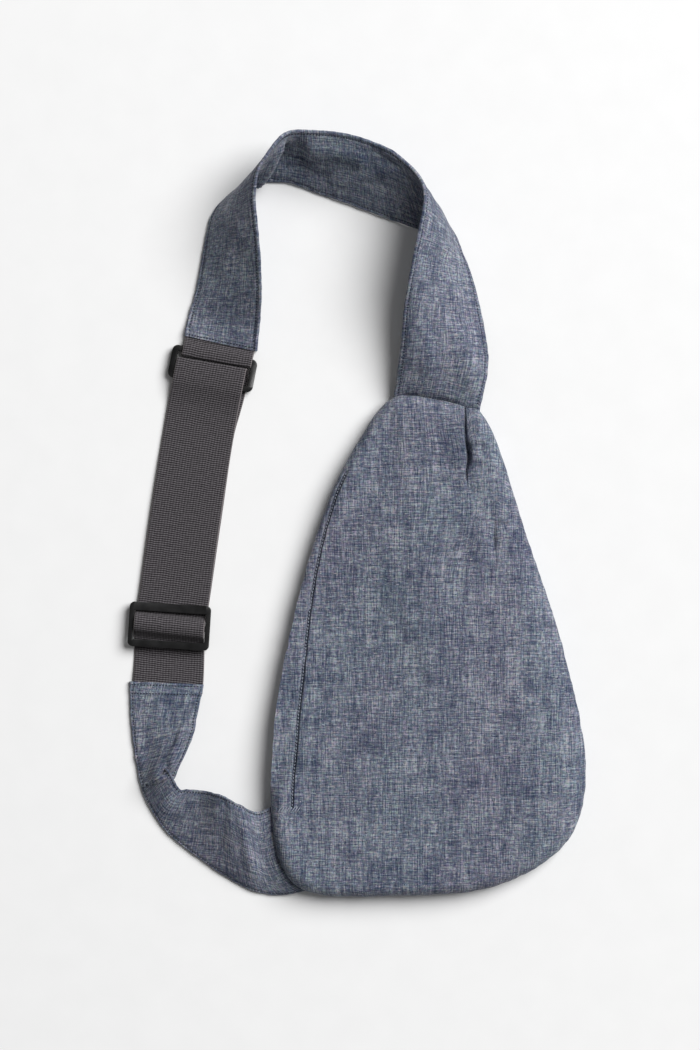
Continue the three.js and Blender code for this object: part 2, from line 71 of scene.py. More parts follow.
# Edge of the bag, clockwise. seam: height of the edge seam; gape: how far the mouth stands open;
# hem: width of the turned edge along the mouth; bend: how far in the front bends down to the edge;
# sag: 1 where the front only slopes up from the mouth, 0 where it swells at once.
OUTLINE = (
    # x, y, seam, gape, hem, bend, sag
    (25, 81.5, 7, 0, 6, 14, 0.15),  # left end of the upper strap's seam
    (55, 81, 7, 0, 8, 14, 0.05),  # middle of that seam
    (77.5, 75, 6.5, 0, 8, 14, 0),  # top of the tuck
    (88.5, 70.5, 7, 0, 10, 16, 0),  # right end of that seam
    (101.6, 43.5, 9, 0, 10, 22, 0),  # shoulder
    (119, -12, 9, 0, 10, 24, 0),  # right side, upper
    (146, -95, 9, 0, 10, 24, 0),  # right side, middle
    (162, -178, 8, 0, 10, 22, 0),  # right side, lower
    (148.5, -232, 8.5, 0, 10, 15, 0),  # right corner
    (98, -263.3, 9, 0, 10, 9, 0),  # bottom, right
    (31, -269.8, 9.5, 0, 10, 8, 0.05),  # bottom
    (-31.5, -268, 8, 0, 12, 9, 0.2),  # bottom, left
    (-54, -246.5, 8.5, 0, 16, 10, 0.35),  # left corner
    (-60.5, -206.5, 11, 0, 19, 12, 0.6),  # low end of the mouth
    (-59.8, -180, 9, 9.5, 18.5, 12, 0.8),  # mouth, foot
    (-56, -133, 8, 9.5, 16, 12, 0.95),  # mouth, lower
    (-40.5, -58, 8, 7, 9.8, 12, 0.95),  # mouth, middle
    (-19.5, 9.5, 8.5, 4.5, 5, 12, 0.7),  # high end of the mouth
    (1, 50.5, 9, 0, 5, 14, 0.35),  # neck
)
OUTLINE_STEPS, MEAN_STEPS = 40, 4
UPPER_SEAM, LOWER_SEAM = (0, 3), (13, 11)  # the rows between which each strap is sewn in
MOUTH_OPEN, MOUTH_SLACK = 4, 8  # gape at which the lip is full, and at which the front is slack

# The turned edge along the mouth: where it ends, and the ridge and groove beside its stitching
HEM_TOP, HEM_FOOT, HEM_TOP_FADE, HEM_FOOT_FADE = 32, -209, 8, 2.5
RIDGE_HEIGHT, RIDGE_BESIDE, RIDGE_OUTSIDE, RIDGE_INSIDE, RIDGE_START = 0.9, 2.6, 6.0, 1.3, 2
GROOVE_DEPTH, GROOVE_HALF = 2.6, 1.4

# The tuck below the upper strap, top to foot: where its lip runs, and how wide and deep its crevice is.
TUCK_LIP = (
    # y, x, width, depth
    (76, 75.6, 0.6, 2.4), (62, 75.3, 0.8, 2.8), (54, 75.5, 0.9, 3), (50, 75.8, 0.8, 2),
    (45.5, 76.5, 1.7, 7.5), (37.5, 77.1, 1.3, 6.5), (30.5, 76, 0.8, 3.8), (21, 76.6, 0.6, 2),
)
TUCK_RAISE, TUCK_SLOPE, TUCK_EDGE = 1.5, 9, 0.8  # the lip's height, and its width on the left and right
TUCK_DROP, TUCK_SOFT = 2.8, 13  # how much lower the right side lies, and how far
TUCK_START, TUCK_FADE = 1.2, 16  # how soon the tuck begins at the seam, and dies out at its foot
CREVICE_BESIDE = 1.4  # the crevice's deepest line, in its widths from the lip
# The rays crowd at the tuck and bend beside it, so that its lip runs along one of them.
RAY_CROWD, RAY_CROWD_REACH = 7, 11
RAY_BEND_REACH, RAY_BEND_DEPTH, RAY_BEND_FADE = 34, 60, 70

# Small dents and soft folds of the front: place, reach each way, height.
FRONT_DENTS = (
    # x, y, reach x, reach y, height
    (83, 51.3, 6.5, 1.9, 2.2),  # small fold above the tuck's pit
    (88, 46, 6, 2, -1.6),  # its hollow
    (88, 38.5, 6, 3, 1.4),  # a second small fold
    (67, 33.5, 8, 2, -1.3),  # wrinkle left of the tuck's foot
    (64, 28, 8, 2.5, 1.0),  # its swell
    (89, 23, 7, 5, 1.1),  # swell right of the tuck's foot
    (83, 15, 6, 2.4, -0.9),  # wrinkle under it
    (-57.5, -206.6, 4.5, 1.4, -1.3),  # end of the mouth's turned edge
    (96, -16.5, 2.1, 10, -3.8),  # soft crease under the right shoulder
    (87, -19, 7.5, 13, 1.5),  # its swell
    (103, -8.6, 5, 2.4, -2.8),  # the crease that runs from it to the side seam
    (112, -5.6, 5.5, 2.4, -2.6),
    (40, 62, 16, 8, 0.8),  # swell under the strap's seam
    (20, 40, 9, 18, -0.7),  # hollow down from the neck
    (118, -150, 20, 45, 0.9),  # low swell of the right half
    (0, -235, 30, 12, 0.8),  # low swell over the bottom edge
)

# Upper strap: the raised edge, the edge that lies on the table, and how high the cloth arches between them,
# from the bag to the ring.
UPPER_STRAP = (
    # ax, ay, az, bx, by, bz, rise
    (25, 82, 9, 88.5, 71, 9, 0),
    (30, 108, 17, 92.8, 107, 9, 6),
    (33, 142.5, 29, 88.9, 138.8, 2.5, 7),
    (38, 172.5, 42, 81.6, 167.5, 1.4, 3),
    (44, 201, 47, 74.3, 186, 1.2, 0),
    (47, 219, 46, 69.5, 197, 1.2, 0),
    (44, 233.5, 40, 63.4, 202.5, 1.2, 0),
    (33, 246.4, 38, 48, 201, 1.4, 0),
    (19, 256, 37, 28, 207, 1.5, 0),
    (-4.5, 264, 38, -1, 217.6, 1.4, 0),
    (-29, 267, 38, -27, 227, 1.3, 0),
    (-46.5, 266, 41, -48.5, 234.4, 1.2, 0),
    (-54.6, 259.4, 46, -66, 234, 1.2, 0),
    (-62.6, 247.9, 48, -79.5, 231.6, 1.2, 0),
    (-68.6, 236.6, 47, -92.2, 223.4, 1.2, 0),
    (-70.5, 218, 44, -103, 210, 1.3, 0),
    (-68, 190.5, 39, -108, 188, 1.4, 0),
    (-66.5, 160, 27, -113.5, 160, 1.5, 0),
    (-68, 135, 11.5, -119.5, 138.5, 1.6, 0),
    (-70.3, 115.3, 2.6, -122.2, 125.6, 2.6, 0),
)
# Lower strap, from the bag to the webbing; its raised edge is the inner one.
LOWER_STRAP = (
    (-61, -206.5, 11, -31.5, -269.5, 7.5, 0),
    (-72, -210.5, 12, -52.5, -272, 2, 1),
    (-82.5, -205, 19, -72.5, -267.8, 1.5, 2.6),
    (-94, -198, 23, -94, -256.4, 1.5, 1),
    (-107, -195.5, 13.5, -113.5, -243, 1.5, 1.5),
    (-119, -195, 9.5, -132.5, -228, 1.5, 1.5),
    (-124.6, -194.6, 10, -141, -217, 1.5, 1.5),
    (-128.5, -188, 13.5, -147.5, -206.5, 1.5, 1.5),
    (-132.3, -180.5, 18, -151, -198.5, 1.5, 1.5),  # top of the pleat at the corner
    (-134, -180.5, 11, -152, -195.8, 1.5, 5),  # under the pleat
    (-129.6, -187.5, 8, -152.8, -192.8, 1.5, 7),
    (-125, -177.5, 10, -154.5, -186, 1.5, 8),
    (-116, -159.5, 12.5, -157.5, -167.5, 1.5, 0.5),
    (-112.5, -143, 8.5, -160, -143.5, 1.5, 0),
    (-108.2, -121.4, 1.8, -161, -119, 1.8, 0),
)
# Creases of the straps, each a line between two places: the table's row, counted from 0, and the share of
# the width from edge a. near and far: reach towards the bag and towards the webbing; height: how far the
# crease stands out towards the inside of the loop, or up from the lower strap.
UPPER_CREASES = (
    # row, share, to row, to share, near, far, height
    (11.55, 0.32, 12.5, 1.1, 1.6, 6, 5),  # pleat where the strap turns down on the left
    (11.2, 0.36, 12.2, 1.1, 5, 1.5, -3.5),  # hollow behind the pleat
    (10.2, 0.5, 11.4, 0.58, 3, 1.8, -1.5),  # crease of the top stretch, beside the pleat
    (10.6, 0.42, 11.4, 0.47, 14, 14, -4.4),  # the hollow that it lies in
    (9.9, 0.68, 11.0, 0.7, 6, 6, -1.8),  # lower part of the top stretch, turned up at the edge
    (8.8, 0.28, 10.1, 0.3, 8, 8, 3.0),  # swell under the top edge
    (7.6, 0.25, 9.4, 0.75, 4, 4, 1.2),  # fold that crosses the top stretch
    (6.2, 0.3, 8.2, 0.15, 4, 4, -1.4),  # hollow beside the right turn
    (3.7, 0.45, 5.2, 0.5, 13, 13, -2.2),  # round swell of the right turn
    (0.5, 0.5, 1.8, 0.32, 3, 9, 1.3),  # soft folds of the right stretch
    (0.5, 0.85, 1.6, 0.68, 9, 9, -3.0),
    (2.6, 0.75, 3.4, 0.45, 4, 5, 0.9),
    (15.4, 0.3, 16.6, 0.6, 4, 4, -0.9),  # soft fold of the left stretch
)
LOWER_CREASES = (
    (2.0, 0.0, 1.9, 0.7, 5, 5, 1.6),  # soft fold beside the bag
    (2.9, 0.1, 3.1, 0.65, 5, 5, -1.5),  # hollows of the stretch by the bag
    (4.2, 0.25, 4.9, 0.7, 4, 4, -1.0),
    (9.7, 0.22, 11.0, 0.3, 4, 3, -5),  # pit of the pleat
    (11.2, 0.34, 12.4, 0.2, 5, 2, 1.5),  # inner edge, turned up above the pleat
    (10.8, 0.78, 11.8, 0.78, 5, 5, -2.0),  # hollows below the webbing
    (11.4, 0.5, 12.4, 0.8, 4, 4, -0.8),
    (13.0, 0.6, 13.7, 0.6, 6, 6, 0.8),  # low swell of the sleeve
)
CREASE_FADE = 6
# How each strap is made up. puff: its rise beyond the bag's seam; waves: height of its wrinkles;
# sleeve: half its thickness over the webbing; inset: of the stitches from its edges; end_rows: of
# those across the sleeve, from its end.
UPPER_MAKE = {"puff": 4.6, "waves": 1.0, "seed": 2.7, "sleeve": 2.45, "inset": 3.1, "end_rows": (2.0,)}
LOWER_MAKE = {"puff": 0.8, "waves": 0.9, "seed": 9.4, "sleeve": 1.65, "inset": 2.0, "end_rows": (2.0, 8.5)}
STRAP_THICK, SLEEVE_CLOTH = 2.4, 0.8
STRAP_EDGE, STRAP_END = 1.3, 0.8  # reach of the round edges, and of the round end at the bag
ARCH_LEAN = 0.8  # below 1 the arch is highest nearer the raised edge
SEAM_FADE, PUFF_START, PUFF_FADE = 36, 1.6, 45
SCALLOPS, SCALLOP_REACH = ((0.4, 4.5), (0.3, 11)), 6  # height and length
CALM_BAG, CALM_SLEEVE = 25, 20  # the wrinkles die out so near the sewn ends
PRESS, PRESS_REACH, SEAM_THIN = 0.4, 0.85, 0.4
# Rows of a strap: fine at both ends, even between. The sleeve turns in over the rows of SLEEVE_TURN,
# counted from its end.
BAG_END_ROWS, SLEEVE_ROWS = (0, 0.04, 0.16, 0.36, 0.64, 1.0), (8, 5, 2, 0.8, 0.4, 0.12, 0)
SLEEVE_TURN = (-2, -3, -5, -6, -7)
EVEN_FROM, EVEN_TO, FINE_ENDS, STRAP_PITCH = 1.5, 9.5, 12, 1.1
STRAP_COLUMNS, TABLE_STEPS = 48, 24

# Webbing: the line that it lies along, and its runs, s along that line and side across it.
WEB_LINE = ((-98.5, 119.5), (-123, -0.5), (-134.5, -121))
WEB_STEPS, WEB_SPARE = 600, 30  # steps of that line, and more of them beyond each end
WEB_WIDTH, WEB_THICK, WEB_CORDS = 50, 1.4, 25
WEB_EDGE, WEB_END, CORD_RIDGE = 0.9, 0.5, 0.14
RUN_STEPS = 8
ANCHOR_RUN = (
    # s, z, side
    (-6, 1.8, 1.6), (0.4, 1.7, 1.6), (6.5, 0.9, 1.6), (11.2, 1.3, 1.6), (11.9, 3.8, 1.6),
    (11.3, 6.4, 1.6), (7.5, 6.9, 1.6), (4.4, 6.2, 1.6), (0.4, 3.7, 1.6), (-6, 3.4, 1.6),
)
LONG_RUN = (
    # s, z, side: the end in the lower strap, over the slider's bar, up to the ring, round it and back
    (248, 1.75, 0.9), (240, 1.7, 0.8), (230, 0.95, 0.3), (216, 0.9, -0.9), (211.8, 1.8, -1.5),
    (208.8, 5.2, -1.8), (206.4, 9, -2), (202, 10.5, -2.2), (197.5, 9, -2.4), (194.8, 5, -2.5),
    (192, 2.5, -2.2), (186, 2.5, -1.6), (120, 2.5, -1.2), (47, 2.5, -1.5), (37, 4.8, -1.4),
    (30, 6.9, -1.3), (18, 7.1, -1.2), (14.4, 6.3, -1.1), (13.7, 3.8, -0.6), (14.7, 1.8, 0),
    (18, 0.9, 0.6), (25, 0.8, 1), (34, 0.8, 0.9), (47, 0.8, -0.2), (60, 0.8, -1.4),
    (120, 0.8, -0.7), (186, 0.8, -1.4), (192.5, 0.85, -2), (196.4, 2, -2.3), (198.4, 5.5, -2.3),
    (199.4, 7.9, -2.3), (202, 8.7, -2.2), (204.8, 7.9, -2.1), (205.4, 5.5, -2.1), (204.6, 2.7, -2.1),
    (201.5, 2.5, -2.2),
)
# At the ring the webbing lies askew, its left edge lower by the skew than its right one.
ANCHOR_SKEW, LONG_SKEW = 1.0, 1.3
SKEW_FROM, SKEW_FADE = 45, 25

# Plastic ring and slider: place along the webbing, then sizes across and along it.
RING = {"at": 17.25, "side": 0, "turn": 0, "width": 61, "inner": 52.6, "bars": (4, 4), "length": 23.5,
        "bottom": 1.8, "thick": 4, "corner": 5}
SLIDER = {"at": 202, "side": -2.2, "turn": 2.8, "width": 57.6, "inner": 50.9, "bars": (5, 4, 6),
          "length": 31.5, "bottom": 3.6, "thick": 4, "corner": 6}
MOULD_ROUND = 1.15

# Sewing: from stitch to stitch, length of a stitch, thickness of the thread.
STRAP_STITCH, MOUTH_STITCH, BAR_STITCH = (2.15, 1.5, 0.95), (2.35, 1.7, 0.75), (5, 5, 0.6)
MOUTH_STITCH_IN, MOUTH_STITCH_UP = 0.25, 1.0  # place of the mouth's stitches in the groove
# The bar of slanting stitches across the low end of the mouth's turned edge.
BAR_TACK = {"from": -54, "to": -40.5, "y": -208.2, "pitch": 1.9, "slant": 3.0, "height": 4.2, "up": 0.25}

# Light and camera: places and sizes in metres, the light in watts, the lens in millimetres
KEY_PLACE, KEY_SIZE, KEY_WATTS = (4.52, 3.40, 5.66), 6.2, 940.0
ROOM_LIGHT = 0.16
CAMERA_PLACE, LENS = (-0.0046, -0.0082, 2.2), 106.35
TABLE_HALF = 4


# Curves and waves
def smooth(table, per_row, closed=False, centripetal=False):
    """The rows of a table carried along a Catmull-Rom curve, with so many steps to a row."""
    rows = np.array(table, dtype=float)
    if closed:
        padded = np.vstack((rows[-1:], rows, rows[:2]))
    else:
        padded = np.vstack((2 * rows[0] - rows[1], rows, 2 * rows[-1] - rows[-2]))
    p0, p1, p2, p3 = (padded[i:len(padded) - 3 + i] for i in range(4))

    def spacing(p, q):
        gap = np.linalg.norm(q - p, axis=1, keepdims=True)
        return np.sqrt(gap) if centripetal else np.ones_like(gap)

    d0, d1, d2 = spacing(p0, p1), spacing(p1, p2), spacing(p2, p3)
    leave = ((p1 - p0) / d0 - (p2 - p0) / (d0 + d1) + (p2 - p1) / d1) * d1
    arrive = ((p2 - p1) / d1 - (p3 - p1) / (d1 + d2) + (p3 - p2) / d2) * d1
    square = 3 * (p2 - p1) - 2 * leave - arrive
    cube = 2 * (p1 - p2) + leave + arrive
    t = (np.arange(per_row) / per_row)[None, :, None]
    p1, leave, square, cube = (part[:, None, :] for part in (p1, leave, square, cube))
    curve = (p1 + t * (leave + t * (square + t * cube))).reshape(-1, rows.shape[1])
    return curve if closed else np.vstack((curve, rows[-1:]))


def lengths(points):
    """Distance along a line of points from its first one."""
    return np.concatenate(([0.0], np.cumsum(np.linalg.norm(np.diff(points, axis=0), axis=1))))


def picked(curve, place, wanted):
    """The rows of a curve at the wanted places along it."""
    return np.stack([np.interp(wanted, place, column) for column in curve.T], axis=1)


def unit(ways):
    """The same directions, each one long."""
    return ways / np.linalg.norm(ways, axis=-1, keepdims=True)


def eased(share):
    """A smooth rise from 0 to 1."""
    share = np.clip(share, 0, 1)
    return share * share * (3 - 2 * share)


def rounded(share):
    """A quarter round: 0 at the edge, and 1 where the share of its reach is 1."""
    return np.sqrt(np.maximum(0, 1 - (1 - np.clip(share, 0, 1)) ** 2))


def hump(away, reach):
    """1 at a place, falling smoothly to almost 0 at twice the reach."""
    return np.exp(-(away / reach) ** 2)


def ripples(a, b, *waves):
    """Smooth noise over two fields of places, the sum of its waves."""
    a, b = np.broadcast_arrays(a, b)
    total = np.zeros(a.shape)
    for height, length_a, length_b, seed in waves:
        values = [noise.noise((p / length_a, q / length_b, seed)) for p, q in zip(a.flat, b.flat)]
        total = total + height * np.array(values).reshape(a.shape)
    return total


# Meshes
def finished(bm, name, material):
    for face in bm.faces:
        face.smooth = True
    mesh = bpy.data.meshes.new(name)
    bm.to_mesh(mesh)
    bm.free()
    mesh.materials.append(material)
    piece = bpy.data.objects.new(name, mesh)
    bpy.context.collection.objects.link(piece)
    return piece


def cloth_skin(name, points, flat_places, material):
    """A grid of cloth moved to its points (rows, columns, 3). The first and last columns are sewn
    together, and a row that has shrunk to a line or a point is closed. flat_places is the UV map."""
    rows, columns = points.shape[:2]
    bm = bmesh.new()
    bmesh.ops.create_grid(bm, x_segments=columns - 1, y_segments=rows - 1, size=1)
    for vert, place in zip(bm.verts, points.reshape(-1, 3) * MM):
        vert.co = place
    layer = bm.loops.layers.uv.new("cloth")
    spots = flat_places.reshape(-1, 2) * MM
    for face in bm.faces:
        for loop in face.loops:
            loop[layer].uv = spots[loop.vert.index]
    bmesh.ops.remove_doubles(bm, verts=bm.verts, dist=2e-7)
    bmesh.ops.recalc_face_normals(bm, faces=bm.faces)
    return finished(bm, name, material)


def dress(piece, slot, *nodes):
    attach(piece, "root")
    if nodes:
        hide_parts(*nodes)
    return piece


# Materials
def linear(code):
    """An sRGB hex colour as linear red, green, blue and alpha."""
    parts = [int(code[i:i + 2], 16) / 255 for i in (1, 3, 5)]
    return [p / 12.92 if p <= 0.04045 else ((p + 0.055) / 1.055) ** 2.4 for p in parts] + [1.0]


def plug(tree, node, inputs):
    """Sets a node's inputs, each a value, another node's output, or a node, for its first output."""
    for key, value in dict(inputs).items():
        if isinstance(value, bpy.types.Node):
            value = value.outputs[0]
        if isinstance(value, bpy.types.NodeSocket):
            tree.links.new(value, node.inputs[key])
        else:
            node.inputs[key].default_value = value


def add(tree, kind, inputs=(), stops=(), **settings):
    """A shader node with its settings, its inputs and its colour stops, each a place and a colour."""
    node = tree.nodes.new("ShaderNode" + kind)
    for key, value in settings.items():
        setattr(node, key, value)
    plug(tree, node, inputs)
    for index, (place, colour) in enumerate(stops):
        elements = node.color_ramp.elements
        if index == len(elements):
            elements.new(place)
        elements[index].position = place
        elements[index].color = linear(colour)
    return node


def summed(tree, parts, start):
    """The sum of patterns, each with its weight."""
    total = start
    for value, weight in parts:
        total = add(tree, "Math", {0: value, 1: weight, 2: total}, operation="MULTIPLY_ADD")
    return total


def new_material(name):
    material = bpy.data.materials.new(name)
    material.use_nodes = True
    tree = material.node_tree
    return material, tree, tree.nodes["Principled BSDF"]


def linen_chambray():
    """Linen chambray, plain woven: indigo yarns one way and pale ones the other. The yarns are uneven,
    so long thin streaks run both ways, with pale slubs, dark specks and a soft cloudiness. A single yarn
    is too fine to show, so the streaks are drawn at least 0.8 mm wide."""
    material, tree, shader = new_material("linen chambray")
    flat = add(tree, "UVMap", uv_map="cloth")

    def streaks(across, along, seed, detail=2.0):
        # one fleck is about `across` wide and `along` long, in millimetres
        spot = add(tree, "Mapping", {
            "Vector": flat, "Scale": (1 / (across * MM), 1 / (along * MM), 1),
            "Location": (seed, seed * 1.7, 0)})
        return add(tree, "TexNoise", {
            "Vector": spot, "Scale": 1.0, "Detail": detail, "Roughness": 0.6}, noise_dimensions="2D")

    def flecked(colour, flecks, least, most, share, fleck_colour):
        # the other colour shows where the flecks are densest
        dense = add(tree, "MapRange", {
            "Value": flecks, "From Min": least, "From Max": most, "To Max": share})
        return add(tree, "Mix", {"Factor": dense, 6: colour, 7: linear(fleck_colour)},
                   data_type="RGBA").outputs[2]

    warp = streaks(0.9, 15, 3.1)
    weft = streaks(14, 0.8, 8.7)
    yarn = streaks(0.8, 3, 12.3)
    pick = streaks(3.2, 0.8, 17.9)
    grain = streaks(0.8, 0.8, 19.0)
    cloud = streaks(26, 34, 23.0, detail=3.0)
    stripe = streaks(6, 80, 27.0)
    bar = streaks(70, 5, 29.0)
    weights = ((warp, 1.2), (weft, 1.15), (yarn, 0.65), (pick, 0.75), (grain, 0.3), (cloud, 0.5),
               (stripe, 0.45), (bar, 0.3))
    tone = summed(tree, weights, 0.5 - 0.5 * sum(weight for _, weight in weights))
    colour = add(tree, "ValToRGB", {"Fac": tone}, stops=(
        (0.04, "#323b52"), (0.40, "#5d6273"), (0.60, "#727785"), (0.98, "#a7a9b1")))
    # navy specks of dark yarn, pale slubs, which are thick places in the undyed yarn, and white neps,
    # small knots of fibre
    colour = flecked(colour, streaks(1.5, 1.9, 31.0), 0.66, 0.74, 1.0, "#2c364c")
    colour = flecked(colour, streaks(5.5, 1.1, 37.0), 0.68, 0.78, 0.6, "#c9cace")
    colour = flecked(colour, streaks(1.3, 1.1, 53.0), 0.76, 0.8, 1.0, "#d4d5d8")
    # each yarn took the dye a little differently, between mauve and green, and between sand and blue
    mauve = summed(tree, ((streaks(60, 75, 41.0), 0.3), (streaks(3.6, 1.8, 43.0), 1.0)), -0.15)
    sand = streaks(2.5, 2.3, 47.0)
    for share, low, high in ((mauve, "#ffeff7", "#ebfffb"), (sand, "#fffff0", "#f2f2ff")):
        cast = add(tree, "ValToRGB", {"Fac": share}, stops=((0.3, low), (0.7, high)))
        colour = add(tree, "Mix", {"Factor": 1.0, 6: colour, 7: cast},
                     data_type="RGBA", blend_type="MULTIPLY").outputs[2]
    relief = summed(tree, ((warp, 0.5), (weft, 0.5), (yarn, 0.8), (pick, 0.8)), 0.0)
    bump = add(tree, "Bump", {"Height": relief, "Strength": 0.75, "Distance": 0.28 * MM})
    plug(tree, shader, {"Base Color": colour, "Normal": bump, "Roughness": 0.92, "Specular IOR Level": 0.2,
                        "Sheen Weight": 0.12, "Sheen Roughness": 0.5})
    return material


def woven_webbing():
    """Charcoal cotton webbing, a close plain weave: dark gaps between the picks make fine ribs across it,
    the cords show as softer lines along it, and the selvedges are paler."""
    material, tree, shader = new_material("woven cotton webbing")
    flat = add(tree, "UVMap", uv_map="cloth")
    split = add(tree, "SeparateXYZ", {"Vector": flat})
    cord = WEB_WIDTH / WEB_CORDS * MM
    pick = 1.5 * MM
    half = WEB_WIDTH / 2

    def sized(across, along):
        # noise whose flecks are so many millimetres across and along the webbing
        spot = add(tree, "Mapping", {"Vector": flat, "Scale": (1 / (across * MM), 1 / (along * MM), 1)})
        return add(tree, "TexNoise", {"Vector": spot, "Scale": 1.0, "Detail": 2.0}, noise_dimensions="2D")

    def waves(value, length, shift):
        turned = add(tree, "Math", {0: value, 1: 2 * math.pi / length, 2: shift}, operation="MULTIPLY_ADD")
        return add(tree, "Math", {0: turned}, operation="COSINE")

    # the beat of the weave is not quite even
    unevenness = add(tree, "Math", {0: sized(9, 14), 1: 5.0}, operation="MULTIPLY")
    tone = summed(tree, ((waves(split.outputs["Y"], pick, unevenness), 0.34),
                         (waves(split.outputs["X"], cord, 0.0), 0.12), (sized(1.1, 3.2), 0.36)), 0.32)
    colour = add(tree, "ValToRGB", {"Fac": tone}, stops=(
        (0.1, "#191719"), (0.5, "#3b383b"), (0.95, "#6a666a")))
    middle = add(tree, "Math", {0: split.outputs["X"], 1: half * MM}, operation="SUBTRACT")
    off = add(tree, "Math", {0: middle}, operation="ABSOLUTE")
    selvedge = add(tree, "MapRange", {
        "Value": off, "From Min": (half - 0.9) * MM, "From Max": (half - 0.3) * MM, "To Max": 0.6})
    colour = add(tree, "Mix", {"Factor": selvedge, 6: colour, 7: linear("#80797a")},
                 data_type="RGBA").outputs[2]
    bump = add(tree, "Bump", {"Height": tone, "Strength": 0.8, "Distance": 0.35 * MM})
    plug(tree, shader, {"Base Color": colour, "Normal": bump, "Roughness": 0.85,
                        "Specular IOR Level": 0.25, "Sheen Weight": 0.08})
    return material


def moulded_plastic():
    """Black acetal, injection moulded with a satin face: a fine grain softens the highlights, and
    handling has polished it in patches."""
    material, tree, shader = new_material("moulded black acetal")
    spot = add(tree, "TexCoord").outputs["Object"]
    grain = add(tree, "TexNoise", {"Vector": spot, "Scale": 1 / (0.5 * MM), "Detail": 2.0})
    wear = add(tree, "TexNoise", {"Vector": spot, "Scale": 1 / (7 * MM), "Detail": 3.0})
    rough = add(tree, "MapRange", {
        "Value": wear, "From Min": 0.3, "From Max": 0.7, "To Min": 0.3, "To Max": 0.42})
    colour = add(tree, "ValToRGB", {"Fac": wear}, stops=((0.3, "#0a0a0b"), (0.7, "#111112")))
    bump = add(tree, "Bump", {"Height": grain, "Strength": 0.25, "Distance": 0.06 * MM})
    plug(tree, shader, {"Base Color": colour, "Normal": bump, "Roughness": rough, "IOR": 1.48})
    return material


def sewing_thread(name, shade, light):
    """Polyester sewing thread, twisted: a dull sheen and a fine twist across each stitch."""
    material, tree, shader = new_material(name)
    spot = add(tree, "TexCoord").outputs["Object"]
    twist = add(tree, "TexNoise", {"Vector": spot, "Scale": 1 / (0.6 * MM), "Detail": 1.0})
    colour = add(tree, "ValToRGB", {"Fac": twist}, stops=((0.3, shade), (0.7, light)))
    bump = add(tree, "Bump", {"Height": twist, "Strength": 0.4, "Distance": 0.1 * MM})
    plug(tree, shader, {"Base Color": colour, "Normal": bump, "Roughness": 0.6})
    return material


def table_paper():
    """Matt white paper: a faint tooth, drawn 25 mm coarse so that it shows, and no gloss."""
    material, tree, shader = new_material("matt white paper")
    spot = add(tree, "TexCoord").outputs["Object"]
    tooth = add(tree, "TexNoise", {"Vector": spot, "Scale": 1 / (25 * MM)})
    colour = add(tree, "ValToRGB", {"Fac": tooth}, stops=((0.3, "#eeeeee"), (0.7, "#f0f0f0")))
    plug(tree, shader, {"Base Color": colour, "Roughness": 1.0, "Specular IOR Level": 0.0})
    return material


# The two sides of the bag
outline = smooth(OUTLINE, OUTLINE_STEPS, closed=True)


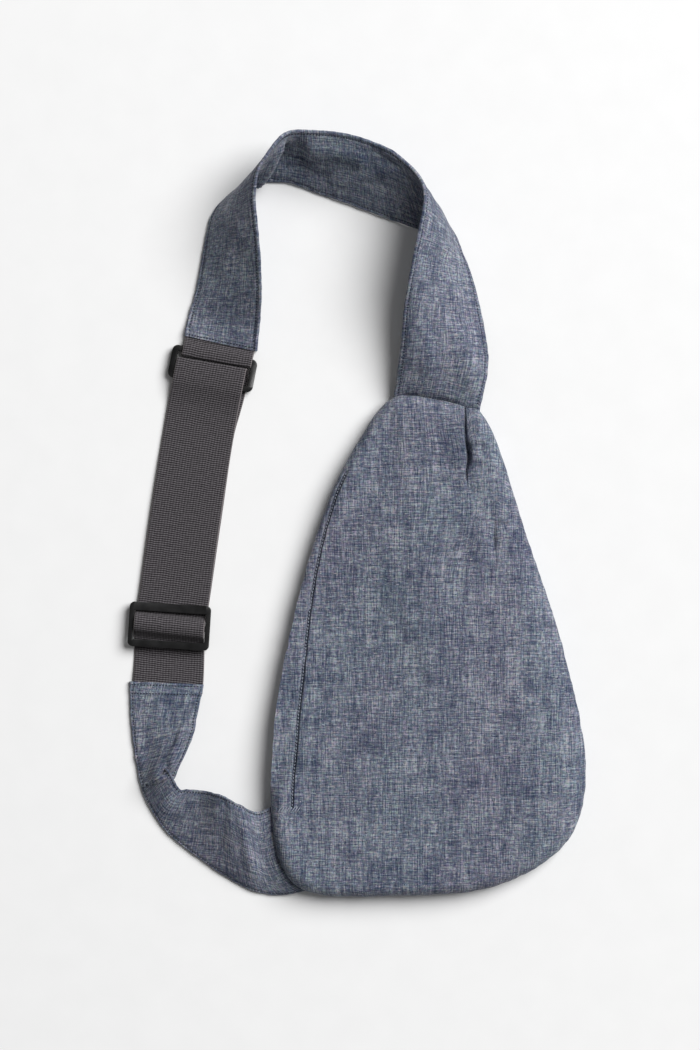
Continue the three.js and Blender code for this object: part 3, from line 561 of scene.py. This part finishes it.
class Edge:
    """The stations round the edge of the bag, closest together at the tuck. The last one is the first."""

    def __init__(self):
        loop = np.vstack((outline, outline[:1]))
        self.loop_place = lengths(loop[:, :2])
        tuck_y, tuck_x = TUCK_LIP[0][:2]
        tuck_place = self.loop_place[np.argmin(np.hypot(loop[:, 0] - tuck_x, loop[:, 1] - tuck_y))]
        crowd = 1 + RAY_CROWD * hump(self.loop_place - tuck_place, RAY_CROWD_REACH)
        steps = np.diff(self.loop_place) * (crowd[1:] + crowd[:-1]) / 2
        measure = np.concatenate(([0.0], np.cumsum(steps)))
        wanted = np.linspace(0, measure[-1], EDGE_STATIONS + 1)
        edge = picked(np.column_stack((loop, self.loop_place)), measure, wanted)
        self.x, self.y, self.seam, self.gape, self.hem, self.bend, self.sag, self.place = edge.T
        away = np.abs(self.place - tuck_place)
        self.from_tuck = np.minimum(away, self.place[-1] - away)
        self.reach = np.hypot(self.x - MIDDLE[0], self.y - MIDDLE[1])
        self.out_x = (self.x - MIDDLE[0]) / self.reach
        self.out_y = (self.y - MIDDLE[1]) / self.reach
        self.left = self.x < MIDDLE[0] / 2
        self.mouth = eased(self.gape / MOUTH_OPEN)
        # along the mouth the front lies flatter than at a seam
        self.slack = eased(self.gape / MOUTH_SLACK)
        # the sides part a little where a strap is sewn in between them
        parted = SEAM_SLOT * sum(self.between(*sorted(rows)) for rows in (UPPER_SEAM, LOWER_SEAM))
        self.front_rim = self.seam + PIECE_GAP / 2 + parted + self.gape * MOUTH_LIFT
        self.back_rim = self.seam - PIECE_GAP / 2 - parted - self.gape * (1 - MOUTH_LIFT)
        few = smooth(OUTLINE, MEAN_STEPS, closed=True)
        self.mean_rim = np.mean(few[:, 2] + PIECE_GAP / 2 + few[:, 3] * MOUTH_LIFT)
        # waves of the sewn edge, the same for both sides of the bag
        round_trip = self.place / self.place[-1] * 2 * math.pi
        ring = np.cos(round_trip) * WAVE_RING, np.sin(round_trip) * WAVE_RING
        self.wobble = ripples(*ring, *SEAM_WAVES)
        self.pucker = ripples(*ring, SEAM_PUCKER)

    def between(self, first, last):
        """1 on the edge between two rows of the outline, and 0 beyond them."""
        start, finish, total = self.loop_place[[first * OUTLINE_STEPS, last * OUTLINE_STEPS, -1]]
        # the stations just before the first row count as before it, not as the loop's end
        place = np.where(self.place > total - 20, self.place - total, self.place)
        return (eased((place - start + SLOT_SPARE) / SLOT_FADE)
                * eased((finish + SLOT_SPARE - place) / SLOT_FADE))

    def turned(self, y):
        """1 on the turned edge of the mouth, and 0 above and below it."""
        return self.left * eased((HEM_TOP - y) / HEM_TOP_FADE) * eased((y - HEM_FOOT) / HEM_FOOT_FADE)

    def plan(self, inset):
        """Where a row of cloth lies in plan, so far in from the edge along each station's ray."""
        near = np.exp(-inset / WAVE_REACH)
        x = self.x + self.out_x * (self.wobble * near - inset)
        y = self.y + self.out_y * (self.wobble * near - inset)
        middle = np.argmin(self.from_tuck)
        lip_y, lip_x = np.array(TUCK_LIP)[::-1, :2].T
        shift = np.interp(y[:, middle], lip_y, lip_x) - x[:, middle]
        shift = shift * (1 - eased((inset[:, middle] - RAY_BEND_DEPTH) / RAY_BEND_FADE))
        return x + shift[:, None] * hump(self.from_tuck, RAY_BEND_REACH), y


def crown(edge, inset):
    """A round edge and a low dome; from the mouth the cloth only slopes up."""
    out = np.clip(1 - inset / edge.reach, 0, 1)
    rim = edge.mean_rim + (edge.front_rim - edge.mean_rim) * out ** RIM_POWER
    swell = EDGE_SHARE * rounded(inset / edge.bend) + (1 - EDGE_SHARE) * (1 - out ** 2)
    slack = edge.slack + (edge.sag - edge.slack) * eased(inset / SAG_REACH)
    swell = swell + ((1 - out) ** MOUTH_POWER - swell) * slack
    return rim + FRONT_CROWN * swell


def mouth_edge(edge, inset, y):
    """The turned edge along the mouth: a ridge outside the stitching and a groove under it."""
    across = inset - edge.hem
    side = np.where(across < -RIDGE_BESIDE, RIDGE_OUTSIDE, RIDGE_INSIDE)
    ridge = RIDGE_HEIGHT * hump(across + RIDGE_BESIDE, side) * eased(inset / RIDGE_START)
    groove = -GROOVE_DEPTH * np.exp(-(across / GROOVE_HALF) ** 4)
    return edge.turned(y) * (ridge + groove)


def tuck(inset, x, y):
    """The cloth stands up to the tuck's lip on the left; a crevice parts it from the lower right side."""
    lip_y, lip_x, lip_width, lip_depth = np.array(TUCK_LIP)[::-1].T
    aside = x - np.interp(y, lip_y, lip_x)
    hold = eased((y - lip_y[0] + TUCK_FADE * 0.3) / TUCK_FADE) * eased(inset / TUCK_START)
    widths = aside / np.interp(y, lip_y, lip_width)
    crevice = np.interp(y, lip_y, lip_depth) * hump(widths - CREVICE_BESIDE, 1)
    drop = np.where(aside > 0, np.maximum(0, 1 - aside / TUCK_SOFT) ** 2, 0) * eased(aside / TUCK_START)
    raised = hump(aside, np.where(aside > 0, TUCK_EDGE, TUCK_SLOPE))
    return hold * (TUCK_RAISE * raised - TUCK_DROP * drop - crevice)


def front_height(edge, inset, x, y):
    """Height of the front's outer face, so far in from the edge and at these places in plan."""
    height = crown(edge, inset) + mouth_edge(edge, inset, y) + tuck(inset, x, y)
    inside = 1 - np.exp(-inset / CALM_EDGE)
    for dent_x, dent_y, reach_x, reach_y, rise in FRONT_DENTS:
        dent = np.exp(-((x - dent_x) / reach_x) ** 2 - ((y - dent_y) / reach_y) ** 2)
        height = height + rise * inside * dent
    # slow waves of the cloth, and the puckers that the seam draws in
    height = height + inside * ripples(x, y, *FRONT_WAVES)
    pucker = edge.pucker * np.exp(-inset / PUCKER_REACH) * eased(inset / 1.5)
    return height + pucker * (1 - 0.5 * edge.mouth)


def drawn_in(edge, away):
    """How far the cloth draws in to the seam, so far away from it in height."""
    return SEAM_SINK * (1 - edge.mouth) * np.clip(1 - away / SEAM_RISE, 0, 1) ** 2


def lip_rows(edge, radius):
    """The lip that rounds the cloth's edge: how far in its rows lie, and how far on from the rim."""
    turn = np.linspace(0, math.pi / 2, LIP_ROWS + 1)[1:]
    lip = SEAM_LIP + radius * edge.mouth
    return SEAM_SINK * (1 - edge.mouth) + np.outer(1 - np.cos(turn), lip), np.outer(np.sin(turn), lip)


def inner_rows(edge, lip):
    """How far in the rows of the inner face lie, from the lip back to the middle."""
    start = lip[-1] + PANEL_WALL
    return start + np.outer(np.linspace(0, 1, INNER_ROWS) ** INNER_POWER, edge.reach - start)


def panel(name, edge, insets, heights, cut, material):
    """One side of the bag: rows of cloth from the middle out to the edge, round its lip and back inside.
    In the flat, each row is as far along its ray as the cloth is long."""
    inset, height = np.vstack(insets), np.vstack(heights)
    step = np.hypot(np.diff(inset, axis=0), np.diff(height, axis=0))
    run = np.vstack((np.zeros_like(edge.reach), np.cumsum(step, axis=0)))
    flat = np.stack((MIDDLE[0] + edge.out_x * run, MIDDLE[1] + edge.out_y * run), axis=2)
    x, y = edge.plan(inset)
    return cloth_skin(name, np.stack((x, y, height), axis=2), flat + cut, material)


def front_cloth(edge, material):
    near = np.outer(HEM_ROWS, edge.hem)
    far = near[-1] + np.outer(np.linspace(0, 1, FRONT_ROWS + 1)[1:], edge.reach - near[-1])
    outer = np.vstack((near, far))[::-1]
    outer_height = front_height(edge, outer, *edge.plan(outer))
    outer_height[0] = outer_height[0].mean()
    drawn = drawn_in(edge, outer_height - edge.front_rim) * (outer < edge.hem)
    lip, lip_drop = lip_rows(edge, FRONT_LIP)
    inner = inner_rows(edge, lip)
    inner_height = front_height(edge, inner, *edge.plan(inner)) - PANEL_WALL
    inner_height[-1] = inner_height[-1].mean()
    return panel("front_cloth", edge, (outer + drawn, lip, inner),
                 (outer_height, edge.front_rim - lip_drop, inner_height), (0, 0), material)


def back_cloth(edge, material):
    bend = np.linspace(0, math.pi / 2, BEND_ROWS)
    curve = np.outer(1 - np.sin(bend), np.full_like(edge.reach, BACK_ROUND))
    flat = BACK_ROUND + np.outer(np.linspace(1, 0, BACK_ROWS + 1)[:-1], edge.reach - BACK_ROUND)
    outer = np.vstack((flat, curve))
    outer_height = np.vstack((np.zeros_like(flat), np.outer(1 - np.cos(bend), edge.back_rim)))
    outer_height = outer_height + np.clip(edge.pucker, 0, 1) * hump(outer - 5, 4)
    drawn = drawn_in(edge, edge.back_rim - outer_height)
    lip, lip_rise = lip_rows(edge, BACK_LIP)
    inner = inner_rows(edge, lip)
    inner_height = edge.back_rim * (1 - rounded(inner / BACK_ROUND)) + PANEL_WALL
    return panel("back_cloth", edge, (outer + drawn, lip, inner),
                 (outer_height, edge.back_rim + lip_rise, inner_height), BACK_CUT, material)


# Straps and webbing
def faces_of(middle):
    """The way that each point of a sheet of points faces."""
    return unit(np.cross(np.gradient(middle, axis=1), np.gradient(middle, axis=0)))


def band(name, middle, order, half, across, along, material):
    """A flat tube of cloth, so thick on both sides of a sheet of points. order lists the sheet's rows
    from end to end of the tube, and turns back where the tube is tucked into itself."""
    normal = faces_of(middle)
    top = middle[order] + normal[order] * half[:, :, None]
    under = middle[order] - normal[order] * half[:, :, None]
    points = np.concatenate((top, under[:, -2:0:-1], top[:, :1]), axis=1)
    points[:, :, 2] = np.maximum(points[:, :, 2], 0.03)  # just clear of the table
    across = np.concatenate((across, across[:, -2:0:-1], across[:, :1]), axis=1)[order]
    flat = np.stack((across, np.broadcast_to(along[order][:, None], across.shape)), axis=2)
    return cloth_skin(name, points, flat, material), ((top, normal), (under, -normal))


def seam_line(first, last, shares):
    """Points just inside the edge seam, between two rows of the outline."""
    step = 1 if last > first else -1
    part = outline[first * OUTLINE_STEPS:last * OUTLINE_STEPS + step:step]
    way = np.gradient(part[:, :2], axis=0) * step
    out = unit(np.stack((-way[:, 1], way[:, 0]), axis=1))
    line = part[:, :2] - out * SEAM_TUCKED
    place = lengths(line)
    return picked(np.column_stack((line, part[:, 2])), place, shares * place[-1])


def creased(creases, stations, place, width, along, across):
    """How far the creases move a strap out of its face; stations is the table's row at each place."""
    moved = np.zeros_like(across)
    for row, share, to_row, to_share, near, far, height in creases:
        start, finish = np.interp((row, to_row), stations, place)
        low, high = np.interp((start, finish), along, width) * (share, to_share)
        length = math.hypot(finish - start, high - low)
        ahead, aside = (finish - start) / length, (high - low) / length
        run = (along[:, None] - start) * ahead + (across - low) * aside
        off = (along[:, None] - start) * aside - (across - low) * ahead
        off = off * math.copysign(1, aside)
        beyond = np.maximum(0, np.maximum(-run, run - length))
        reach = np.where(off < 0, near, far)
        moved = moved + height * np.exp(-(off / reach) ** 2 - (beyond / CREASE_FADE) ** 2)
    return moved


def strap_thickness(along, to_end, far, make):
    """Half the thickness of a strap's rows: round edges, pressed along the stitching, thin in the bag's
    seam, full at the sleeve. There the cloth turns in and leaves room for the webbing."""
    edge = rounded(far / STRAP_EDGE)
    pressed = 1 - PRESS * hump(far - make["inset"], PRESS_REACH)
    body = STRAP_THICK / 2 - SEAM_THIN * (1 - eased((along - 3) / 8))
    body = body + (make["sleeve"] - body) * hump(np.maximum(0, to_end - 3), 9)
    half = body[:, None] * rounded(along / STRAP_END)[:, None] * edge * pressed
    # the last two rows round the sleeve's end
    half[-2:] -= np.array([[0.12], [0.4]]) * edge[-2:]
    room = np.maximum(0.02, (make["sleeve"] - SLEEVE_CLOTH) * rounded((far - 0.7) / 0.7))
    inside = np.array([room[row] for row in SLEEVE_TURN] + [np.zeros(far.shape[1])])
    inside[0] = np.maximum(0.02, room[-2] + 0.12 * edge[-2])
    return np.vstack((half, inside))


def strap_sewing(faces, shares, width, along, to_end, make):
    """Rows of stitches along both edges on both faces, and across the sleeve's end."""
    lines = []
    seen = np.flatnonzero((along > 4) & (to_end > 3))
    beside = make["inset"] / width
    for face, way in faces:
        for at, column in ((beside, 2), (1 - beside, -3)):
            spots = np.array([[np.interp(at[row], shares, face[row, :, axis]) for axis in range(3)]
                              for row in seen])
            lines.append((spots, way[seen, column]))
        for from_end in make["end_rows"]:
            row = np.argmin(np.abs(to_end - from_end))
            lines.append((face[row, 4:-4], way[row, 4:-4]))
    return lines


def strap(name, table, creases, seam, make, material):
    """A doubled cloth strap between its two edges, from the bag's seam to the sleeve that is sewn over
    the webbing, and the lines of its stitches."""
    seed, waves = make["seed"], make["waves"]
    curve = smooth(table, TABLE_STEPS)
    place = lengths((curve[:, :3] + curve[:, 3:6]) / 2)
    total = place[-1]
    even = np.linspace(EVEN_FROM, total - EVEN_TO, int((total - FINE_ENDS) / STRAP_PITCH))
    along = np.concatenate((BAG_END_ROWS, even, total - np.array(SLEEVE_ROWS)))
    to_end = total - along
    rows = picked(curve, place, along)
    shares = 0.5 - 0.5 * np.cos(np.linspace(0, math.pi, STRAP_COLUMNS + 1))
    span = rows[:, 3:6] - rows[:, :3]
    width = np.linalg.norm(span, axis=1)
    across = shares * width[:, None]
    far = np.minimum(shares, 1 - shares) * width[:, None]
    sheet = rows[:, None, :3] + span[:, None, :] * shares[None, :, None]
    sheet[:, :, 2] += rows[:, 6:7] * np.maximum(0, np.sin(math.pi * shares ** ARCH_LEAN))
    # the end at the bag follows the curve of its seam, and the cloth stands up beyond that
    shift = seam_line(*seam, shares) - sheet[0]
    sheet = sheet + shift[None] * (1 - eased(along / SEAM_FADE))[:, None, None]
    stand = (1 - np.exp(-np.maximum(0, along - SEAM_TUCKED) / PUFF_START)) * hump(along, PUFF_FADE)
    sheet[:, :, 2] += make["puff"] * stand[:, None] * np.maximum(0, np.sin(math.pi * shares)) ** 0.5
    # the edges run in small scallops between the stitches
    edge_a, edge_b = (
        ripples(along, 0.0, *((*wave, 10, seed + step) for wave, step in zip(SCALLOPS, steps)))
        for steps in ((5, 6), (7, 9)))
    move = (edge_a[:, None] * np.exp(-across / SCALLOP_REACH)
            + edge_b[:, None] * np.exp(-(width[:, None] - across) / SCALLOP_REACH))
    sheet = sheet + (span / width[:, None])[:, None, :] * move[:, :, None]
    # soft wrinkles and creases, still at both sewn ends, and puckers along the stitching
    row = along[:, None]
    calm = (eased(along / CALM_BAG) * eased(to_end / CALM_SLEEVE))[:, None]
    wrinkle = ripples(row + across * 0.6, across - row * 0.1, (waves, 24, 30, seed))
    wrinkle = wrinkle + ripples(row - across * 0.5, across, (0.35 * waves, 9, 14, seed + 3))
    pucker = ripples(row, (shares > 0.5) * 50.0, (0.35, 6, 10, seed + 8))
    fold = creased(creases, np.arange(len(curve)) / TABLE_STEPS, place, width, along, across)
    move = (wrinkle * calm * eased(far / 12) + pucker * np.exp(-far / 5)
            - fold * calm * eased((far + 1.5) / 6))
    sheet = sheet + faces_of(sheet) * move[:, :, None]
    order = list(range(len(along))) + [len(along) + step for step in SLEEVE_TURN + SLEEVE_TURN[-1:]]
    half = strap_thickness(along, to_end, far, make)
    piece, faces = band(name, sheet, order, half, across, along, material)
    return piece, strap_sewing(faces, shares, width, along, to_end, make)


def web_place(s, side):
    """A point so far along the webbing's line and so far to the right of it."""
    spare = WEB_SPARE / WEB_STEPS
    t = np.linspace(-spare, 1 + spare, WEB_STEPS + 2 * WEB_SPARE + 1)[:, None]
    start, bend, finish = (np.array(p, dtype=float) for p in WEB_LINE)
    line = (1 - t) ** 2 * start + 2 * t * (1 - t) * bend + t ** 2 * finish
    way = unit(np.gradient(line, axis=0))
    place = lengths(line)
    at = picked(np.column_stack((line, way)), place - place[WEB_SPARE], s)
    right = np.stack((-at[:, 3], at[:, 2]), axis=1)
    return at[:, :2] + right * np.asarray(side)[:, None], at[:, 2:4]


def tape(name, run, skew, material):
    """Webbing along a run, with a low ridge for each of its cords."""
    s, z, side = smooth(run, RUN_STEPS, centripetal=True).T
    shares = np.linspace(0, 1, WEB_CORDS * 3 + 1)
    line, _ = web_place(s, side)
    along = lengths(np.column_stack((line, z)))
    slip = skew * eased((SKEW_FROM - s) / SKEW_FADE)
    left, right = (np.column_stack((web_place(s - slip * half, side + WEB_WIDTH * half)[0], z))
                   for half in (-0.5, 0.5))
    middle = left[:, None] + (right - left)[:, None] * shares[None, :, None]
    across = np.broadcast_to(shares * WEB_WIDTH, middle.shape[:2])
    edge = rounded(np.minimum(across, WEB_WIDTH - across) / WEB_EDGE)
    cord = 1 - CORD_RIDGE * (0.5 - 0.5 * np.cos(2 * math.pi * (shares * WEB_CORDS - 0.5)))
    end = rounded(np.minimum(along, along[-1] - along) / WEB_END)
    half = WEB_THICK / 2 * edge * cord[None, :] * end[:, None]
    return band(name, middle, np.arange(len(along)), half, across, along, material)[0]


# Plastic ring and slider
def frame_moulding(name, sizes, material):
    """A flat plate with one window between each two bars, cut out, thickened and rounded."""
    bars, length = sizes["bars"], sizes["length"]
    windows = len(bars) - 1
    gap = (length - sum(bars)) / windows
    bm = bmesh.new()
    bmesh.ops.create_grid(bm, x_segments=3, y_segments=len(bars) + windows, size=0.5)
    columns = [-sizes["width"] / 2, -sizes["inner"] / 2, sizes["inner"] / 2, sizes["width"] / 2]
    rows = [-length / 2]
    for bar in bars:
        rows += [rows[-1] + bar, rows[-1] + bar + gap]
    for index, vert in enumerate(bm.verts):
        vert.co = (columns[index % 4] * MM, rows[index // 4] * MM, 0)
    bm.faces.ensure_lookup_table()
    holes = [bm.faces[row * 3 + 1] for row in range(1, len(bars) + windows, 2)]
    bmesh.ops.delete(bm, geom=holes, context="FACES_KEEP_BOUNDARY")
    grown = bmesh.ops.extrude_face_region(bm, geom=bm.faces[:])["geom"]
    raised = [v for v in grown if isinstance(v, bmesh.types.BMVert)]
    bmesh.ops.translate(bm, verts=raised, vec=(0, 0, sizes["thick"] * MM))
    bmesh.ops.recalc_face_normals(bm, faces=bm.faces)
    half = Vector((sizes["width"] / 2, length / 2)) * MM
    upright = [e for e in bm.edges if abs(e.verts[0].co.z - e.verts[1].co.z) > MM]
    corners = [e for e in upright if (abs(e.verts[0].co.x) > half.x - 1e-6
                                      and abs(e.verts[0].co.y) > half.y - 1e-6)]
    rounding = {"affect": "EDGES", "profile": 0.5, "material": -1, "clamp_overlap": True}
    bmesh.ops.bevel(bm, geom=corners, offset=sizes["corner"] * MM, segments=7, **rounding)
    sharp = [e for e in bm.edges if len(e.link_faces) == 2 and e.calc_face_angle() > math.radians(40)]
    bmesh.ops.bevel(bm, geom=sharp, offset=MOULD_ROUND * MM, segments=4, **rounding)
    spot, way = web_place(np.array([sizes["at"]]), [sizes["side"]])
    heading = math.atan2(-way[0][1], -way[0][0]) - math.pi / 2 + math.radians(sizes["turn"])
    place = Matrix.Translation((spot[0][0] * MM, spot[0][1] * MM, sizes["bottom"] * MM))
    bmesh.ops.transform(bm, matrix=place @ Matrix.Rotation(heading, 4, "Z"), verts=bm.verts)
    return finished(bm, name, material)


# Sewing
def stitched(name, lines, sizes, material):
    """Stitches laid one after another along each line, all copies of one small spindle of thread."""
    pitch, length, thick = sizes
    bm = bmesh.new()
    bmesh.ops.create_uvsphere(bm, u_segments=6, v_segments=5, radius=1)
    bmesh.ops.scale(bm, vec=(thick / 2, thick / 2, length / 2), verts=bm.verts)
    spindle = np.array([vert.co for vert in bm.verts])
    faces = [[vert.index for vert in face.verts] for face in bm.faces]
    bm.free()
    places = []
    for line, facing in lines:
        place = lengths(line)
        count = int(place[-1] // pitch)
        middles = (np.arange(count) + 0.5) * place[-1] / max(count, 1)
        ways = picked(line, place, middles + length / 2) - picked(line, place, middles - length / 2)
        ahead = unit(ways)
        side = unit(np.cross(picked(np.asarray(facing), place, middles), ahead))
        turn = np.stack((side, np.cross(ahead, side), ahead), axis=1)
        places.append(picked(line, place, middles)[:, None] + spindle @ turn)
    points = np.concatenate(places) * MM
    points[:, :, 2] = np.maximum(points[:, :, 2], 0)
    mesh = bpy.data.meshes.new(name)
    mesh.from_pydata(points.reshape(-1, 3).tolist(), [], [
        [corner + stitch * len(spindle) for corner in face]
        for stitch in range(len(points)) for face in faces])
    bm = bmesh.new()
    bm.from_mesh(mesh)
    bpy.data.meshes.remove(mesh)
    return finished(bm, name, material)


def mouth_lines(edge):
    """The row of stitches in the groove of the mouth's turned edge."""
    inset = edge.hem[None, :] + MOUTH_STITCH_IN
    x, y = edge.plan(inset)
    line = np.stack((x[0], y[0], front_height(edge, inset, x, y)[0] + MOUTH_STITCH_UP), axis=1)
    held = edge.turned(y[0]) > 0.4
    return [(line[held], np.tile((0.0, 0.0, 1.0), (held.sum(), 1)))]


def bar_tack(cloth):
    """Slanting stitches across the turned edge at the low end of the mouth, laid on the cloth below."""
    bm = bmesh.new()
    bm.from_mesh(cloth.data)
    surface = BVHTree.FromBMesh(bm)
    bm.free()
    lines = []
    for x in np.arange(BAR_TACK["from"], BAR_TACK["to"], BAR_TACK["pitch"]):
        spots, ways = [], []
        for slide in (-0.5, 0.5):
            y = BAR_TACK["y"] + slide * BAR_TACK["height"]
            above = Vector((x + slide * BAR_TACK["slant"], y, 100)) * MM
            spot, facing, _, _ = surface.ray_cast(above, Vector((0, 0, -1)))
            spots.append(np.array(spot) / MM + (0, 0, BAR_TACK["up"]))
            ways.append(np.array(facing))
        lines.append((np.stack(spots), np.stack(ways)))
    return lines


# Making the bag
linen = linen_chambray()
webbing = woven_webbing()
acetal = moulded_plastic()
thread = sewing_thread("navy polyester thread", "#131926", "#272f42")
pale_thread = sewing_thread("pale polyester thread", "#828998", "#a2a8b4")

edge = Edge()
front = dress(front_cloth(edge, linen), "linen", "front_panel")
back = dress(back_cloth(edge, linen), "linen", "back_panel")
upper, upper_lines = strap("upper_strap_cloth", UPPER_STRAP, UPPER_CREASES, UPPER_SEAM, UPPER_MAKE, linen)
lower, lower_lines = strap("lower_strap_cloth", LOWER_STRAP, LOWER_CREASES, LOWER_SEAM, LOWER_MAKE, linen)
dress(upper, "linen", "strap_upper")
dress(lower, "linen", "strap_lower")
dress(tape("anchor_tape", ANCHOR_RUN, ANCHOR_SKEW, webbing), "webbing", "webbing_anchor")
dress(tape("adjusting_tape", LONG_RUN, LONG_SKEW, webbing), "webbing", "webbing")
dress(frame_moulding("ring_moulding", RING, acetal), "plastic", "ring")
dress(frame_moulding("slider_moulding", SLIDER, acetal), "plastic", "slider")
upper_sewing = dress(stitched("upper_strap_stitches", upper_lines, STRAP_STITCH, thread), "linen")
lower_sewing = dress(stitched("lower_strap_stitches", lower_lines, STRAP_STITCH, thread), "linen")
mouth_sewing = dress(stitched("mouth_stitches", mouth_lines(edge), MOUTH_STITCH, pale_thread), "linen")
bar_sewing = dress(stitched("mouth_bar_stitches", bar_tack(front), BAR_STITCH, pale_thread), "linen")

# Table, light and camera
bm = bmesh.new()
bmesh.ops.create_grid(bm, x_segments=1, y_segments=1, size=TABLE_HALF)
table = finished(bm, "table", table_paper())

world = bpy.data.worlds.new("soft room")
bpy.context.scene.world = world
world.use_nodes = True
room = world.node_tree.nodes["Background"]
room.inputs["Color"].default_value = linear("#ffffff")
room.inputs["Strength"].default_value = ROOM_LIGHT

softbox = bpy.data.lights.new("overhead softbox", "AREA")
softbox.shape = "DISK"
softbox.size = KEY_SIZE
softbox.energy = KEY_WATTS
light = bpy.data.objects.new("overhead softbox", softbox)
light.location = KEY_PLACE
light.rotation_euler = (-Vector(KEY_PLACE)).to_track_quat("-Z", "Y").to_euler()
bpy.context.collection.objects.link(light)

lens = bpy.data.cameras.new("camera")
lens.lens = LENS
camera = bpy.data.objects.new("camera", lens)
camera.location = CAMERA_PLACE
bpy.context.collection.objects.link(camera)
bpy.context.scene.camera = camera
bpy.context.scene.view_settings.view_transform = "Standard"
